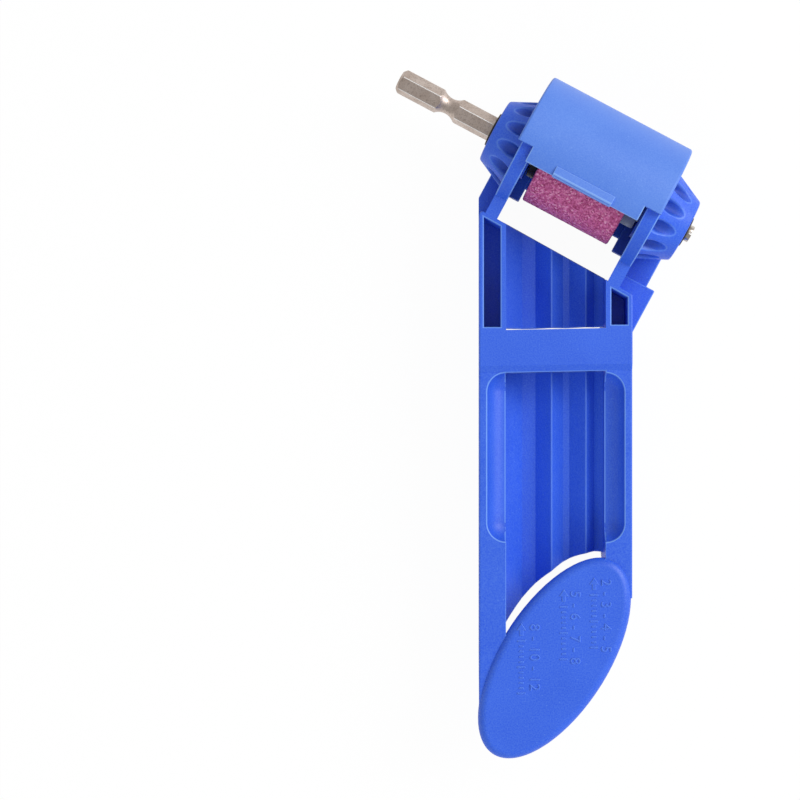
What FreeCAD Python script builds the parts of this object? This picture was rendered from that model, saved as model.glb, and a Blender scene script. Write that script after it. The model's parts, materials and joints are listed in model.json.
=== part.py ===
import FreeCAD, Part
import math
import os

from FreeCAD import Vector

# A hand-held drill bit sharpener, lying on its back.
# Millimetres and degrees. +X is to the right, +Y runs up the handle to the head, +Z is the front of the tool.
# The handle is drawn about its own centre line with Y measured from the wheel centre.
# The head is drawn in its own axes: u along the spindle, v square to it towards the top, w to the front.

# Handle
HANDLE_HALF = 21.25         # half the width over the side walls
FRONT_Z = 25.0              # front face above the back face, beside and above the bridge
GRIP_Z = 24.0               # front face of the grip, a step lower
CHANNEL_LEFT = -13.75       # inner faces of the side walls
CHANNEL_RIGHT = 13.85
SKIN = 1.35                 # moulded wall round the pockets
INNER_SKIN = 1.55           # wall between a pocket and the channel
POCKET_FLOOR_Z = 12.0       # bottom of the pockets that open to the front
POCKET_FOOT_Y = -41.5
CORE_TOP_Z = 14.0           # roof of the pockets that open to the back
CORE_START_Y = -57.0        # they start below the bridge
CORE_SPARE = 12.0           # solid wall left above each wall's slanted end
CORNER_ROUND = 1.0          # upright outer corners at the head end
EDGE_ROUND = 0.5            # round along the long front edges

# Bit channel: from the left wall each stretch runs to an x with a fall, a flat or a rise of 45 degrees
GROOVE_START_Z = 14.2
GROOVE_RUNS = [
    (-8.85, -1), (-5.05, 0), (-0.65, 1), (2.75, -1), (4.55, 0), (9.0, 1), (11.45, -1), (CHANNEL_RIGHT, 1),
]
GROOVE_SKIN = 2.2           # thickness of the grooved floor, measured upright
SEAT = 0.6                  # how far the floor and bridge run into the side walls

# Bridge over the channel, and the step down to the grip at its foot
BRIDGE_TOP_Y = -42.4
STEP_TOP_Y = -52.35
STEP_FOOT_Y = -54.25
BRIDGE_UNDER_Z = 22.8
BRIDGE_LEAN = 1.0           # turn of the bridge and its step, right end up
WINDOW_MARGIN = 0.75        # the floor is open under the bridge, this much past its upper edge
WINDOW_LAP = 0.2            # and the floor starts again this far under its lower edge

# Finger scoops at the front of the channel
SCOOP_RADIUS = 5.2
SCOOP_TOP_Y = -54.6
SCOOP_FOOT_Y = -101.5

# Oval end plate
PLATE_X = -0.3
PLATE_Y = -133.9
PLATE_MAJOR = 31.8          # half axes
PLATE_MINOR = 15.0
PLATE_LEAN = 32.5           # lean of the long axis from upright
PLATE_UNDER_Z = 22.6
PLATE_TOP_Z = 25.4
PLATE_ROUND = 2.5
PLATE_GAP = 0.9             # clear crescent between the floor's end and the plate
LEFT_END_Y = -148.6         # lowest point of each side wall, under the plate
RIGHT_END_Y = -117.1
END_SLANT = 14.0            # the walls' back edges stop this much higher up

# Head
HEAD_TILT = 28.25           # lean of the spindle from square to the handle
END_TILT = 29.3             # lean of the handle's end, which stops just short of the wheel
WHEEL_X = 9.23              # wheel centre, right of the handle's centre line
AXIS_Z = 16.5               # spindle axis above the back face
YOKE_LEFT = -16.4           # inner faces of the two arms along the spindle
YOKE_RIGHT = 17.9
ARM_THICK = 4.1
ARM_DRAFT = 2.0             # the arms thin towards the back on their inner sides
ARM_RADIUS = 18.8           # round front of the arms about the spindle
HANDLE_TOP_V = -22.75       # end of the handle below the spindle
FLOOR_LEAN = 5.3            # the grooved floor's end leans out towards the wheel
FLANGE_Z = 5.0              # rear flanges beside the arms
LEFT_FLANGE = -25.1
RIGHT_FLANGE = 29.6
GUSSET_U = 32.1             # wider gusset where the right flange meets the handle
GUSSET_TOP_V = -17.9
GUSSET_Z = 8.0
ROOT = 1.5                  # how far rear ribs run into the arms
LIP = 1.9                   # rear lips on the inner sides of the arms
LIP_Z = 3.0
LIP_FOOT_V = -13.0
BACK_Z = 1.8                # thin wall behind the wheel
BACK_FOOT_V = -8.8
BACK_TOP_V = 11.0

# Wheel guard
GUARD_LEFT = -21.7
GUARD_RIGHT = 22.1
GUARD_RADIUS = 20.8
GUARD_FOOT_ANGLE = -17.5    # angles about the spindle, from the front towards the top
GUARD_BACK_ANGLE = 140.0
GUARD_NOTCH_U = 17.2        # the corners stop short over the arms
GUARD_NOTCH_V = -1.75
GUARD_ROUND = 0.7           # round along both ends
TONGUE_HALF = 8.9           # raised pad for lining up a bit
TONGUE = ((-6.5, 18.9), (-6.5, 21.4), (-3.4, 20.75), (-3.4, 19.6))
RIB_RADIUS = 16.8           # locating ribs inside the guard, against the arms
RIB_THICK = 1.2
RIB_ANGLES = (20.0, 110.0)

# Fluted bearing caps
LEFT_CAP_FACE = -29.5
RIGHT_CAP_FACE = 31.0
CAP_BASE_RADIUS = 13.4
CAP_FACE_RADIUS = 9.05
CAP_SPIGOT_RADIUS = 8.5
CAP_BORE_RADIUS = 4.7
CAP_CLEARANCE = 0.2         # between a cap and the flange behind it
CAP_ROUND = 0.5
FLUTES = 12
FLUTE_RADIUS = 2.0
FLUTE_CIRCLE = 12.3
LEFT_FLUTE_PHASE = 10.0
RIGHT_FLUTE_PHASE = 12.3

# Shielded ball bearings, 6 x 13 x 5
BEARING_BORE = 3.0          # radii
BEARING_INNER = 3.95
BEARING_OUTER = 5.65
BEARING_RIM = 6.5
BEARING_WIDTH = 5.0
BEARING_SINK = 0.3          # set back from the cap's face
PITCH_RADIUS = 4.75
BALL_RADIUS = 1.0
BALLS = 7
RACE_CLEARANCE = 0.05
CAGE_INNER = 4.45
CAGE_OUTER = 5.05
CAGE_WIDTH = 2.8
POCKET_CLEARANCE = 0.02
SHIELD_INNER = 4.15
SHIELD_THICK = 0.25
SHIELD_SINK = 0.15

# Spindle and what is clamped on it
SHANK_FLATS = 6.35          # quarter-inch hexagon
SHANK_TIP_U = -59.9
SHANK_TURN = -17.0          # turn of the hexagon about the spindle
TIP_CHAMFER = 1.0
DETENT_U = -44.15           # groove for the ball of a bit holder
DETENT_NECK = 2.35
DETENT_ROUND = 4.35
JOURNAL_RADIUS = 3.0
WHEEL_RADIUS = 13.55
WHEEL_HALF = 13.5
WHEEL_CHAMFER = 0.3
COLLAR_RADIUS = 7.0
COLLAR_THICK = 2.4
NUT_FLATS = 11.1            # nut for a quarter-inch thread
NUT_THICK = 4.0
NUT_ROUND = 0.6
SPACER_RADIUS = 4.0
LEFT_WASHER_RADIUS = 4.9
LEFT_WASHER_THICK = 1.0
RIGHT_WASHER_RADIUS = 4.35
RIGHT_WASHER_THICK = 0.9
RIGHT_WASHER_HOLE = 1.6
SCREW_RADIUS = 1.5
SCREW_LENGTH = 9.0
SCREW_HEAD_RADIUS = 2.4
SCREW_HEAD = 1.4
SLOT_WIDTH = 0.8
SLOT_DEPTH = 0.8

# Values that follow from those above
LEFT_ARM_OUT = YOKE_LEFT - ARM_THICK
RIGHT_ARM_OUT = YOKE_RIGHT + ARM_THICK
LEFT_BEARING_OUT = LEFT_CAP_FACE + BEARING_SINK
RIGHT_BEARING_OUT = RIGHT_CAP_FACE - BEARING_SINK
LEFT_BEARING_U = LEFT_BEARING_OUT + BEARING_WIDTH / 2
RIGHT_BEARING_U = RIGHT_BEARING_OUT - BEARING_WIDTH / 2
SHOULDER_U = LEFT_BEARING_OUT - LEFT_WASHER_THICK
COLLAR_U = -WHEEL_HALF - COLLAR_THICK
NUT_END_U = WHEEL_HALF + NUT_THICK
SCREW_SEAT_U = RIGHT_BEARING_OUT + RIGHT_WASHER_THICK
FAR = 200.0                 # longer than any piece, for cutting tools

X_AXIS = Vector(1, 0, 0)
Z_AXIS = Vector(0, 0, 1)


def box(x0, x1, y0, y1, z0, z1):
    return Part.makeBox(x1 - x0, y1 - y0, z1 - z0, Vector(x0, y0, z0))


def prism(points, sweep):
    corners = [Vector(*p) for p in points]
    return Part.Face(Part.makePolygon(corners + corners[:1])).extrude(sweep)


def rod(radius, u0, u1):
    return Part.makeCylinder(radius, u1 - u0, Vector(u0, 0, 0), X_AXIS)


def ring(outer, inner, u0, u1):
    return rod(outer, u0, u1).cut(rod(inner, u0 - 1, u1 + 1))


def around(radius, angle, u=0.0):
    """A point of the head at an angle about the spindle, from the front towards the top."""
    a = math.radians(angle)
    return Vector(u, radius * math.sin(a), radius * math.cos(a))


def sector(inner, outer, angles, u0, u1):
    """A curved plate about the spindle."""
    a0, a1 = angles
    mid = (a0 + a1) / 2
    edges = [
        Part.Arc(around(outer, a0, u0), around(outer, mid, u0), around(outer, a1, u0)).toShape(),
        Part.LineSegment(around(outer, a1, u0), around(inner, a1, u0)).toShape(),
        Part.Arc(around(inner, a1, u0), around(inner, mid, u0), around(inner, a0, u0)).toShape(),
        Part.LineSegment(around(inner, a0, u0), around(outer, a0, u0)).toShape(),
    ]
    return Part.Face(Part.Wire(edges)).extrude(Vector(u1 - u0, 0, 0))


def hexagon(flats, u0, u1, turn=0.0):
    corner = flats / math.sqrt(3)
    points = [around(corner, turn + 30 + 60 * k, u0) for k in range(6)]
    return prism(points, Vector(u1 - u0, 0, 0))


def in_head(shape, tilt=HEAD_TILT):
    """Carries a shape from the head's axes to the handle's."""
    placed = shape.copy()
    placed.rotate(Vector(0, 0, 0), Z_AXIS, -tilt)
    placed.translate(Vector(WHEEL_X, 0, AXIS_Z))
    return placed


def round_edges(shape, radius, wanted):
    return shape.makeFillet(radius, [e for e in shape.Edges if wanted(e)])


def beyond_end(depth=0.0, lean=0.0):
    """All the room on the head's side of the handle's end, or of a plane this deep in it."""
    room = box(-FAR, FAR, 0, FAR, -FAR, FAR)
    room.rotate(Vector(0, 0, 0), X_AXIS, lean)
    room.translate(Vector(0, HANDLE_TOP_V - depth, FRONT_Z - AXIS_Z))
    return in_head(room, END_TILT)


def along_bridge(shape):
    """Turns a shape with the bridge."""
    turned = shape.copy()
    turned.rotate(Vector(0, STEP_TOP_Y, 0), Z_AXIS, BRIDGE_LEAN)
    return turned


def grip_recess():
    """The room in front of the grip, up to the step at the bridge's foot."""
    outline = [
        (-FAR, STEP_TOP_Y, FAR),
        (-FAR, STEP_TOP_Y, FRONT_Z),
        (-FAR, STEP_FOOT_Y, GRIP_Z),
        (-FAR, -FAR, GRIP_Z),
        (-FAR, -FAR, FAR),
    ]
    return along_bridge(prism(outline, Vector(2 * FAR, 0, 0)))


def side_wall(x_in, x_out, end_y):
    outline = [
        (x_in, 0, 0),
        (x_in, 0, FRONT_Z),
        (x_in, end_y, FRONT_Z),
        (x_in, end_y, PLATE_UNDER_Z),
        (x_in, end_y + END_SLANT, 0),
    ]
    wall = prism(outline, Vector(x_out - x_in, 0, 0)).cut([beyond_end(), grip_recess()])

    def outer_corner(edge):
        span = edge.BoundBox
        upright = span.ZLength > GRIP_Z and span.YLength < 0.01
        return upright and abs(span.Center.x - x_out) < 0.01 and span.Center.y > BRIDGE_TOP_Y

    def outer_front(edge):
        middle = edge.BoundBox.Center
        return abs(middle.x - x_out) < 0.01 and middle.z > PLATE_UNDER_Z and edge.BoundBox.YLength > 1

    wall = round_edges(wall, CORNER_ROUND, outer_corner)
    return round_edges(wall, EDGE_ROUND, outer_front)


def head_pockets(x0, x1):
    """The open pocket in the front of a wall beside the bridge's upper edge, and the core behind it."""
    foot = POCKET_FOOT_Y + (x0 + x1) / 2 * math.tan(math.radians(BRIDGE_LEAN))
    front = box(x0, x1, foot, FAR, POCKET_FLOOR_Z, FAR)
    back = box(x0, x1, foot, FAR, -1, POCKET_FLOOR_Z - SKIN)
    return front.fuse(back).cut(beyond_end(SKIN))


def back_pocket(x0, x1, end_y):
    return box(x0, x1, end_y + END_SLANT + CORE_SPARE, CORE_START_Y, -1, CORE_TOP_Z)


def finger_scoop(x):
    foot = Vector(x, SCOOP_FOOT_Y + SCOOP_RADIUS, GRIP_Z)
    top = Vector(x, SCOOP_TOP_Y - SCOOP_RADIUS, GRIP_Z)
    bar = Part.makeCylinder(SCOOP_RADIUS, top.y - foot.y, foot, Vector(0, 1, 0))
    return bar.fuse([Part.makeSphere(SCOOP_RADIUS, foot), Part.makeSphere(SCOOP_RADIUS, top)])


def plate_oval(grow, z0, z1):
    edge = Part.Ellipse(Vector(0, 0, 0), PLATE_MAJOR + grow, PLATE_MINOR + grow).toShape()
    oval = Part.Face(Part.Wire([edge])).extrude(Vector(0, 0, z1 - z0))
    oval.rotate(Vector(0, 0, 0), Z_AXIS, 90 - PLATE_LEAN)
    oval.translate(Vector(PLATE_X, PLATE_Y, z0))
    return oval


def end_plate():
    plate = plate_oval(0, PLATE_UNDER_Z, PLATE_TOP_Z)
    return round_edges(plate, PLATE_ROUND, lambda e: e.BoundBox.ZMin > PLATE_TOP_Z - 0.1)


def groove_line():
    x, z = CHANNEL_LEFT, GROOVE_START_Z
    line = [(x - SEAT, z + SEAT), (x, z)]
    for next_x, slope in GROOVE_RUNS:
        z += slope * (next_x - x)
        x = next_x
        line.append((x, z))
    line.append((x + SEAT, z + SEAT))
    return line


def grooved_floor():
    top = [(x, 0, z) for x, z in groove_line()]
    under = [(x, 0, z - GROOVE_SKIN) for x, z in reversed(groove_line())]
    sheet = prism(top + under, Vector(0, PLATE_Y, 0))
    foot = STEP_FOOT_Y + WINDOW_LAP
    head = BRIDGE_TOP_Y + WINDOW_MARGIN
    window = along_bridge(box(-FAR, FAR, foot, head, -1, FRONT_Z))
    return sheet.cut([beyond_end(lean=FLOOR_LEAN), plate_oval(PLATE_GAP, -1, FRONT_Z), window])


def bridge():
    x = CHANNEL_LEFT - SEAT
    outline = [
        (x, BRIDGE_TOP_Y, BRIDGE_UNDER_Z),
        (x, BRIDGE_TOP_Y, FRONT_Z),
        (x, STEP_TOP_Y, FRONT_Z),
        (x, STEP_FOOT_Y, GRIP_Z),
        (x, STEP_FOOT_Y, BRIDGE_UNDER_Z),
    ]
    return along_bridge(prism(outline, Vector(CHANNEL_RIGHT + SEAT - x, 0, 0)))


def arm(outer_u, inner_u):
    """One side of the yoke: round about the spindle, then flat down to the handle."""
    u0 = min(outer_u, inner_u)
    u1 = max(outer_u, inner_u)
    disc = rod(ARM_RADIUS, u0, u1)
    leg = box(u0, u1, HANDLE_TOP_V - 2 * SKIN, 0, -AXIS_Z, FRONT_Z - AXIS_Z)
    height = GUARD_RADIUS + AXIS_Z
    thinning = math.copysign(height * math.tan(math.radians(ARM_DRAFT)), inner_u - outer_u)
    wedge = [(inner_u, -FAR, GUARD_RADIUS), (inner_u, -FAR, -AXIS_Z), (inner_u - thinning, -FAR, -AXIS_Z)]
    behind = box(u0 - 1, u1 + 1, -FAR, FAR, -FAR, -AXIS_Z)
    hole = rod(CAP_SPIGOT_RADIUS, u0 - 1, u1 + 1)
    return disc.fuse(leg).cut([behind, prism(wedge, Vector(0, 2 * FAR, 0)), hole]).removeSplitter()


def rear_plate(u0, u1, v0, v1, height):
    """A flat rib or flange on the back face of the head."""
    return box(u0, u1, v0, v1, -AXIS_Z, height - AXIS_Z)


def yoke():
    foot = HANDLE_TOP_V - 2 * SKIN
    room = CAP_BASE_RADIUS + CAP_CLEARANCE
    left_flange = rear_plate(LEFT_FLANGE, LEFT_ARM_OUT, foot, 0, FLANGE_Z)
    right_flange = rear_plate(RIGHT_ARM_OUT, RIGHT_FLANGE, foot, 0, FLANGE_Z)
    parts = [
        arm(LEFT_ARM_OUT, YOKE_LEFT),
        arm(RIGHT_ARM_OUT, YOKE_RIGHT),
        rear_plate(YOKE_LEFT - ROOT, YOKE_RIGHT + ROOT, BACK_FOOT_V, BACK_TOP_V, BACK_Z),
        rear_plate(YOKE_LEFT - ROOT, YOKE_LEFT + LIP, LIP_FOOT_V, BACK_TOP_V, LIP_Z),
        rear_plate(YOKE_RIGHT - LIP, YOKE_RIGHT + ROOT, LIP_FOOT_V, BACK_TOP_V, LIP_Z),
        left_flange.cut(rod(room, LEFT_CAP_FACE, LEFT_ARM_OUT)),
        right_flange.cut(rod(room, RIGHT_ARM_OUT, RIGHT_CAP_FACE)),
        rear_plate(RIGHT_ARM_OUT, GUSSET_U, foot - SKIN - FLANGE_Z, GUSSET_TOP_V, GUSSET_Z),
    ]
    return in_head(parts[0].fuse(parts[1:]))


def handle_body():
    left = side_wall(CHANNEL_LEFT, -HANDLE_HALF, LEFT_END_Y)
    right = side_wall(CHANNEL_RIGHT, HANDLE_HALF, RIGHT_END_Y)
    frame = left.fuse([right, yoke()])
    channel = box(CHANNEL_LEFT, CHANNEL_RIGHT, -FAR, 0, -1, FAR).cut(beyond_end())
    beside = box(-FAR, -HANDLE_HALF, -FAR, FAR, -1, FAR)
    frame = frame.cut([channel, beside])
    pocket_left = (-HANDLE_HALF + SKIN, CHANNEL_LEFT - INNER_SKIN)
    pocket_right = (CHANNEL_RIGHT + INNER_SKIN, HANDLE_HALF - SKIN)
    frame = frame.cut([
        head_pockets(*pocket_left),
        head_pockets(*pocket_right),
        back_pocket(*pocket_left, LEFT_END_Y),
        back_pocket(*pocket_right, RIGHT_END_Y),
        finger_scoop(CHANNEL_LEFT),
        finger_scoop(CHANNEL_RIGHT),
    ])
    return frame.fuse([grooved_floor(), bridge(), end_plate()]).removeSplitter()


def guard_shell():
    """The curved cover before its corners are notched, its two ends rounded on the outside."""
    shoulder = GUARD_RADIUS - GUARD_ROUND
    middle = GUARD_ROUND * (1 - math.sqrt(0.5))
    left_flat = GUARD_LEFT + GUARD_ROUND
    right_flat = GUARD_RIGHT - GUARD_ROUND

    def spot(u, radius):
        return around(radius, GUARD_FOOT_ANGLE, u)

    edges = [
        Part.LineSegment(spot(GUARD_LEFT, ARM_RADIUS), spot(GUARD_RIGHT, ARM_RADIUS)),
        Part.LineSegment(spot(GUARD_RIGHT, ARM_RADIUS), spot(GUARD_RIGHT, shoulder)),
        Part.Arc(
            spot(GUARD_RIGHT, shoulder),
            spot(GUARD_RIGHT - middle, GUARD_RADIUS - middle),
            spot(right_flat, GUARD_RADIUS),
        ),
        Part.LineSegment(spot(right_flat, GUARD_RADIUS), spot(left_flat, GUARD_RADIUS)),
        Part.Arc(
            spot(left_flat, GUARD_RADIUS),
            spot(GUARD_LEFT + middle, GUARD_RADIUS - middle),
            spot(GUARD_LEFT, shoulder),
        ),
        Part.LineSegment(spot(GUARD_LEFT, shoulder), spot(GUARD_LEFT, ARM_RADIUS)),
    ]
    section = Part.Face(Part.Wire([edge.toShape() for edge in edges]))
    return section.revolve(Vector(0, 0, 0), X_AXIS, GUARD_FOOT_ANGLE - GUARD_BACK_ANGLE)


def wheel_guard():
    left = box(-FAR, -GUARD_NOTCH_U, -FAR, GUARD_NOTCH_V, 0, FAR)
    right = box(GUARD_NOTCH_U, FAR, -FAR, GUARD_NOTCH_V, 0, FAR)
    shell = guard_shell().cut([left, right])
    pad = [(-TONGUE_HALF, v, w) for v, w in TONGUE]
    tongue = prism(pad, Vector(2 * TONGUE_HALF, 0, 0))
    middle = (ARM_RADIUS + GUARD_RADIUS) / 2
    left_rib = sector(RIB_RADIUS, middle, RIB_ANGLES, YOKE_LEFT, YOKE_LEFT + RIB_THICK)
    right_rib = sector(RIB_RADIUS, middle, RIB_ANGLES, YOKE_RIGHT - RIB_THICK, YOKE_RIGHT)
    return in_head(shell.fuse([tongue, left_rib, right_rib]).removeSplitter())


def bearing_cap(base_u, face_u, inner_u, phase):
    """A coned cap with flutes round its foot, a bearing seat in its face and a spigot through the arm."""
    out = math.copysign(1, face_u - base_u)
    height = abs(face_u - base_u)
    cone = Part.makeCone(CAP_BASE_RADIUS, CAP_FACE_RADIUS, height, Vector(base_u, 0, 0), Vector(out, 0, 0))
    cone = round_edges(cone, CAP_ROUND, lambda e: abs(e.BoundBox.Center.x - face_u) < 0.01)
    spots = [around(FLUTE_CIRCLE, phase + 360 / FLUTES * k, base_u) for k in range(FLUTES)]
    flutes = [Part.makeCylinder(FLUTE_RADIUS, height, spot, Vector(out, 0, 0)) for spot in spots]
    spigot = rod(CAP_SPIGOT_RADIUS, min(base_u, inner_u), max(base_u, inner_u))
    seat_end = face_u - out * (BEARING_SINK + BEARING_WIDTH)
    seat = rod(BEARING_RIM, min(seat_end, face_u), max(seat_end, face_u))
    bore = rod(CAP_BORE_RADIUS, min(face_u, inner_u), max(face_u, inner_u))
    return in_head(cone.cut(flutes).fuse(spigot).cut([seat, bore]).removeSplitter())


def raceway(u):
    return Part.makeTorus(PITCH_RADIUS, BALL_RADIUS + RACE_CLEARANCE, Vector(u, 0, 0), X_AXIS)


def bearing(side, u):
    """The pieces of one bearing, by node name."""
    half = BEARING_WIDTH / 2
    ball_spots = [around(PITCH_RADIUS, 360 / BALLS * k, u) for k in range(BALLS)]
    windows = [
        Part.makeCylinder(BALL_RADIUS + POCKET_CLEARANCE, FAR, Vector(u, 0, 0), spot - Vector(u, 0, 0))
        for spot in ball_spots
    ]
    shield_far = half - SHIELD_SINK
    shield_near = shield_far - SHIELD_THICK
    shields = [
        ring(BEARING_OUTER, SHIELD_INNER, u - shield_far, u - shield_near),
        ring(BEARING_OUTER, SHIELD_INNER, u + shield_near, u + shield_far),
    ]
    pieces = {
        "outer_race": ring(BEARING_RIM, BEARING_OUTER, u - half, u + half).cut(raceway(u)),
        "inner_race": ring(BEARING_INNER, BEARING_BORE, u - half, u + half).cut(raceway(u)),
        "balls": Part.makeCompound([Part.makeSphere(BALL_RADIUS, spot) for spot in ball_spots]),
        "cage": ring(CAGE_OUTER, CAGE_INNER, u - CAGE_WIDTH / 2, u + CAGE_WIDTH / 2).cut(windows),
        "shields": Part.makeCompound(shields),
    }
    return {f"{side}_bearing_{name}": in_head(shape) for name, shape in pieces.items()}


def drive_spindle():
    """A hexagon shank with a detent groove, turned down to a round journal with a tapped end."""
    corner = SHANK_FLATS / math.sqrt(3)
    tip = Part.makeCone(corner - TIP_CHAMFER, corner, TIP_CHAMFER, Vector(SHANK_TIP_U, 0, 0), X_AXIS)
    envelope = tip.fuse(rod(corner, SHANK_TIP_U + TIP_CHAMFER, SHOULDER_U))
    shank = hexagon(SHANK_FLATS, SHANK_TIP_U, SHOULDER_U, SHANK_TURN).common(envelope)
    groove = Part.makeTorus(DETENT_NECK + DETENT_ROUND, DETENT_ROUND, Vector(DETENT_U, 0, 0), X_AXIS)
    shank = shank.cut(groove)
    journal = rod(JOURNAL_RADIUS, SHOULDER_U, RIGHT_BEARING_OUT)
    tapped = rod(SCREW_RADIUS, SCREW_SEAT_U - SCREW_LENGTH - 1, RIGHT_BEARING_OUT + 1)
    return in_head(shank.fuse(journal).cut(tapped).removeSplitter())


def grinding_wheel():
    drum = rod(WHEEL_RADIUS, -WHEEL_HALF, WHEEL_HALF)
    drum = drum.makeChamfer(WHEEL_CHAMFER, [e for e in drum.Edges if e.BoundBox.XLength < 0.01])
    return in_head(drum.cut(rod(JOURNAL_RADIUS, -WHEEL_HALF - 1, WHEEL_HALF + 1)))


def wheel_nut():
    barrel = rod(NUT_FLATS / math.sqrt(3), WHEEL_HALF, NUT_END_U)
    barrel = round_edges(barrel, NUT_ROUND, lambda e: e.BoundBox.XLength < 0.01)
    nut = hexagon(NUT_FLATS, WHEEL_HALF, NUT_END_U).common(barrel)
    return in_head(nut.cut(rod(JOURNAL_RADIUS, WHEEL_HALF - 1, NUT_END_U + 1)))


def end_screw():
    head = rod(SCREW_HEAD_RADIUS, SCREW_SEAT_U, SCREW_SEAT_U + SCREW_HEAD)
    slot_end = SCREW_SEAT_U + SCREW_HEAD
    half = SLOT_WIDTH / 2
    slot = box(slot_end - SLOT_DEPTH, slot_end + 1, -half, half, -FAR, FAR)
    thread = rod(SCREW_RADIUS, SCREW_SEAT_U - SCREW_LENGTH, SCREW_SEAT_U)
    return in_head(head.cut(slot).fuse(thread).removeSplitter())


def sleeve(radius, u0, u1, hole=JOURNAL_RADIUS):
    return in_head(ring(radius, hole, u0, u1))


nodes = {
    "handle_body": handle_body(),
    "wheel_guard": wheel_guard(),
    "left_bearing_cap": bearing_cap(LEFT_ARM_OUT, LEFT_CAP_FACE, YOKE_LEFT, LEFT_FLUTE_PHASE),
    "right_bearing_cap": bearing_cap(RIGHT_ARM_OUT, RIGHT_CAP_FACE, YOKE_RIGHT, RIGHT_FLUTE_PHASE),
    "drive_spindle": drive_spindle(),
    "grinding_wheel": grinding_wheel(),
    "wheel_collar": sleeve(COLLAR_RADIUS, COLLAR_U, -WHEEL_HALF),
    "wheel_nut": wheel_nut(),
    "left_spacer": sleeve(SPACER_RADIUS, LEFT_BEARING_OUT + BEARING_WIDTH, COLLAR_U),
    "right_spacer": sleeve(SPACER_RADIUS, NUT_END_U, RIGHT_BEARING_OUT - BEARING_WIDTH),
    "left_washer": sleeve(LEFT_WASHER_RADIUS, SHOULDER_U, LEFT_BEARING_OUT),
    "right_washer": sleeve(RIGHT_WASHER_RADIUS, RIGHT_BEARING_OUT, SCREW_SEAT_U, RIGHT_WASHER_HOLE),
    "end_screw": end_screw(),
}
nodes.update(bearing("left", LEFT_BEARING_U))
nodes.update(bearing("right", RIGHT_BEARING_U))

# The origin is the bottom centre of the whole tool as it lies on its back.
extent = Part.makeCompound(list(nodes.values())).optimalBoundingBox(False, False)
shift = Vector(-extent.Center.x, -extent.Center.y, -extent.ZMin)

os.makedirs("parts", exist_ok=True)
for name, shape in nodes.items():
    shape.translate(shift)
    shape.exportStep(f"parts/{name}.step")
    print(f"{name}: {len(shape.Solids)} solids, {shape.Volume:.1f} mm3, valid {shape.isValid()}")

hub = Vector(WHEEL_X, 0, AXIS_Z) + shift
tilt = math.radians(HEAD_TILT)
print(f"size {extent.XLength:.2f} x {extent.YLength:.2f} x {extent.ZLength:.2f}")
print(f"shift {shift.x:.4f} {shift.y:.4f} {shift.z:.4f}")
print(f"wheel centre {hub.x:.4f} {hub.y:.4f} {hub.z:.4f}, axis {math.cos(tilt):.6f} {-math.sin(tilt):.6f} 0")
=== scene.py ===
import json
import math

import bmesh
import bpy
from mathutils import Matrix, Vector, noise


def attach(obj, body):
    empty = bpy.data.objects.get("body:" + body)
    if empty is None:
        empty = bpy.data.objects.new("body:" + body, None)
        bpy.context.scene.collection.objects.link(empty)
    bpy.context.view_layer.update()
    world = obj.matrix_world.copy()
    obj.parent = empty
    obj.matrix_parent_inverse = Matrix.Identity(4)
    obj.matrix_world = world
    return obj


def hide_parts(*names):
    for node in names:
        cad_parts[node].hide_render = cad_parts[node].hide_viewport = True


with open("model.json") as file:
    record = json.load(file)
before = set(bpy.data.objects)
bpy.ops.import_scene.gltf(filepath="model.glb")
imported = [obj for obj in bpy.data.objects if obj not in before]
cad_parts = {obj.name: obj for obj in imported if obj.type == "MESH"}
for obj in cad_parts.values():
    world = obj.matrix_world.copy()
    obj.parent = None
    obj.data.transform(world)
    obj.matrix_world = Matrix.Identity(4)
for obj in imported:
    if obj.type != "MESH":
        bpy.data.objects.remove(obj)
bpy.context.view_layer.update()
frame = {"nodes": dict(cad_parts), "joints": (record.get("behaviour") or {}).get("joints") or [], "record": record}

# A hand-held drill bit sharpener of blue moulded plastic, lying on its back.
# Metres, in the frame of the CAD model: +X to the right, +Y up the handle to the head, +Z out of the front.

MM = 0.001

# Places read from the frame

SPIN = next(joint for joint in frame["joints"] if joint["name"] == "spindle_spin")
HUB = Vector(SPIN["pos_m"])         # wheel centre
SPINDLE_TURN = math.atan2(SPIN["axis"][1], SPIN["axis"][0])
FROM_HEAD = Matrix.Translation(HUB) @ Matrix.Rotation(SPINDLE_TURN, 4, "Z")
BODY_OF = {
    node: body
    for body, nodes in frame["record"]["behaviour"]["bodies"].items()
    for node in nodes
}
SLOT_OF = {part["node"]: part["material_slot"] for part in frame["record"]["subparts"]}

# Joining and rounding of the moulded and turned shapes

WELD = 0.002 * MM                   # points closer than this are one
FLAT_ANGLE = math.radians(0.4)      # faces that turn less than this are one flat
SHARP_ANGLE = math.radians(22)      # a true corner turns more than this
ROUND_ANGLE = math.radians(40)      # largest turn from one step of a round to the next
ROUND_STEPS = 3
ROUND_SHARES = (1.0, 0.4)           # full rounds first, then slighter ones where there is less room
ROUND_ROOM = 1.2                    # least length of the edges about a round, in its widths
LONG_CORNER = 4.0 * MM              # corners longer than this lose the slivers at their ends
SLIVER = 0.15 * MM                  # longest edge that counts as a sliver
LARGE_FACES = 80                    # weight of large faces in the shading, where 50 is even
EDGE_MARK = "eased_edge"            # attribute, up to 1 on rounds, lips, the shank's corner flats and sides of marks, where the plastic gets a painted highlight and metal its edge colour
FLUTE_SHADE_MARK = "painted_shade"              # attribute, up to 1 deep in the flutes, where the plastic takes painted shade


def joined(node):
    """A CAD node as one closed mesh with whole flat faces."""
    shape = bmesh.new()
    shape.from_mesh(frame["nodes"][node].data)
    bmesh.ops.remove_doubles(shape, verts=shape.verts[:], dist=WELD)
    bmesh.ops.dissolve_limit(
        shape, angle_limit=FLAT_ANGLE, use_dissolve_boundaries=False,
        verts=shape.verts[:], edges=shape.edges[:],
    )
    return shape


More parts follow.
